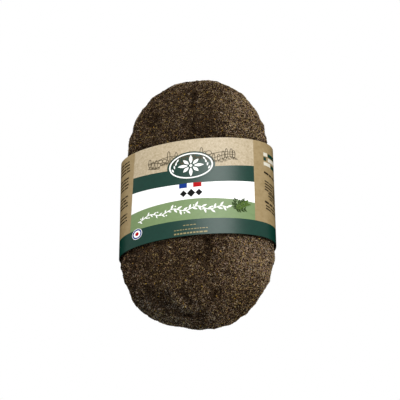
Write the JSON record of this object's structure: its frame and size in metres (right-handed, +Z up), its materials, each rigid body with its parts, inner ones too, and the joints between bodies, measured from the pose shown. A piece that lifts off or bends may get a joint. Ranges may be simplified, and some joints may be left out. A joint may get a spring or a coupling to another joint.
{
  "type": "herb-coated cheese",
  "caption": "Oval pressed loaf rolled in dried herbs, held round its middle by a printed paper sleeve.",
  "frame": {"origin": "on the table, under the middle of the loaf's length and width", "axes": "+Y along the loaf towards the far end, which the print's top faces, +X across it to the right, +Z up"},
  "size_m": [0.087, 0.1594, 0.0402],
  "materials": {
    "herb_coat": "matte, rough coat of dried herb flakes",
    "paper": "satin printed kraft-coloured card"
  },
  "bodies": {
    "root": {"cheese": "herb_coat", "paper_band": "paper"}
  },
  "joints": []
}
